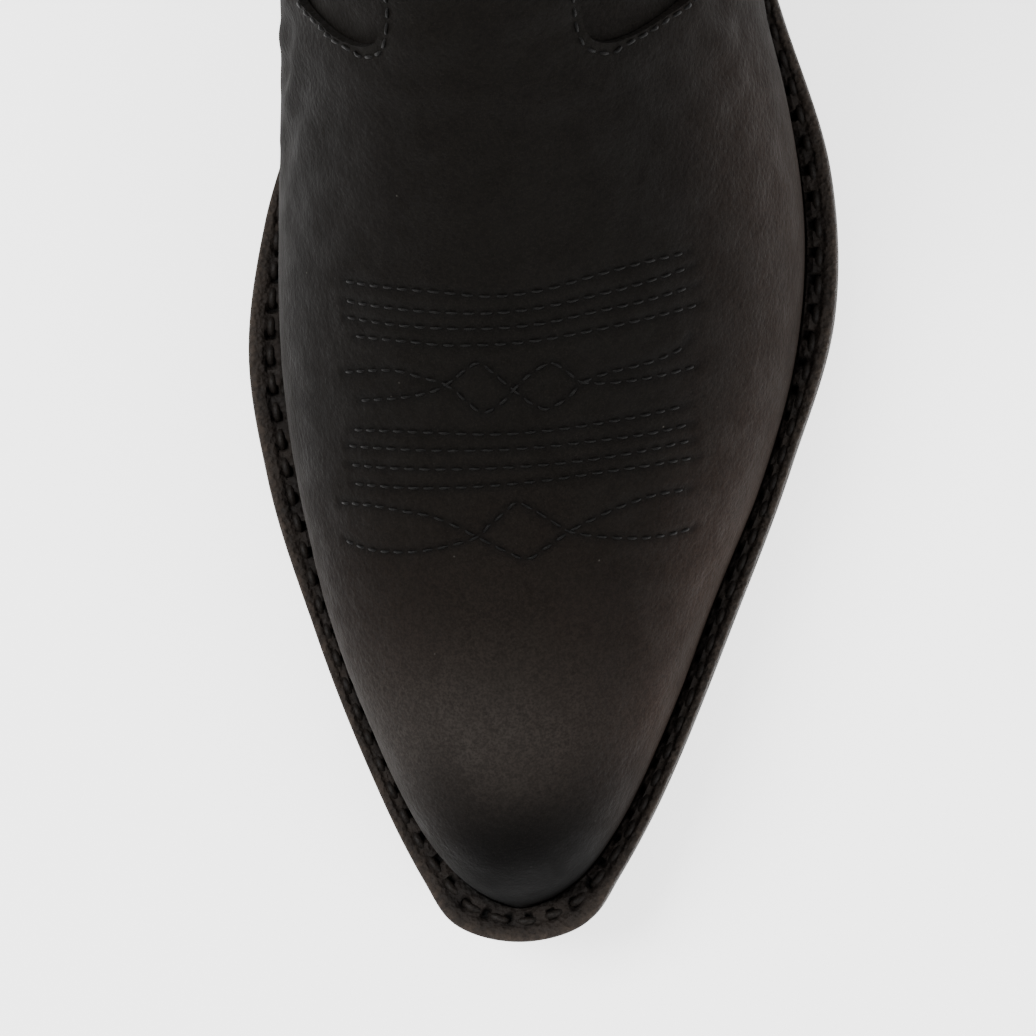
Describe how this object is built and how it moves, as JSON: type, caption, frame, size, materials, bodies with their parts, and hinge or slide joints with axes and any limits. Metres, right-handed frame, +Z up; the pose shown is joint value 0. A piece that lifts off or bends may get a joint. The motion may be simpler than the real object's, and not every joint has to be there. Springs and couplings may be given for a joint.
{
  "type": "cowboy boot",
  "caption": "Pull-on western boot for the left foot with a snip toe, welted leather sole, stacked heel, dipped shaft top and pull straps.",
  "frame": {"origin": "middle of the heel's flat face on the ground", "axes": "+Z up; toe towards -Y; outer (lateral) side of the foot towards +X"},
  "size_m": [0.1056, 0.2876, 0.3491],
  "materials": {
    "upper_nubuck": "black nubuck, matte, with a fine pebbled grain",
    "trim_leather": "black smooth leather, matte",
    "lining_leather": "undyed pigskin, matte",
    "sole_leather": "dark brown-black sole leather, matte",
    "welt_leather": "dark grey-brown welt leather, matte and grainy",
    "heel_rubber": "black rubber, matte",
    "stiffening_board": "bonded leather board",
    "filler_cork": null,
    "steel": "plain steel"
  },
  "bodies": {
    "root": {"outsole": "sole_leather", "welt": "welt_leather", "heel_rand": "welt_leather", "cork_filler": "filler_cork", "waist_filler": "filler_cork", "heel_seat_filler": "filler_cork", "shank": "steel", "insole": "stiffening_board", "footbed": "lining_leather", "top_lift": "heel_rubber", "heel_wedge": "sole_leather", "vamp": "upper_nubuck", "toe_puff": "stiffening_board", "vamp_interlining": "stiffening_board", "shaft_front": "upper_nubuck", "vamp_lining": "lining_leather", "shaft_lining_front": "lining_leather", "shaft_lining_back": "lining_leather", "counter_cover": "upper_nubuck", "heel_stiffener": "stiffening_board", "shaft_back": "upper_nubuck", "top_binding_front": "trim_leather", "top_binding_back": "trim_leather", "heel_lift_1": "sole_leather", "heel_lift_2": "sole_leather", "heel_lift_3": "sole_leather", "heel_lift_4": "sole_leather", "heel_nail_1": "steel", "top_lift_nail_1": "steel", "heel_nail_2": "steel", "top_lift_nail_2": "steel", "heel_nail_3": "steel", "top_lift_nail_3": "steel", "heel_nail_4": "steel", "top_lift_nail_4": "steel", "heel_nail_5": "steel", "top_lift_nail_5": "steel", "side_piping_medial": "trim_leather", "pull_strap_medial": "trim_leather", "teardrop_medial": "trim_leather", "side_piping_lateral": "trim_leather", "pull_strap_lateral": "trim_leather", "teardrop_lateral": "trim_leather"}
  },
  "joints": []
}
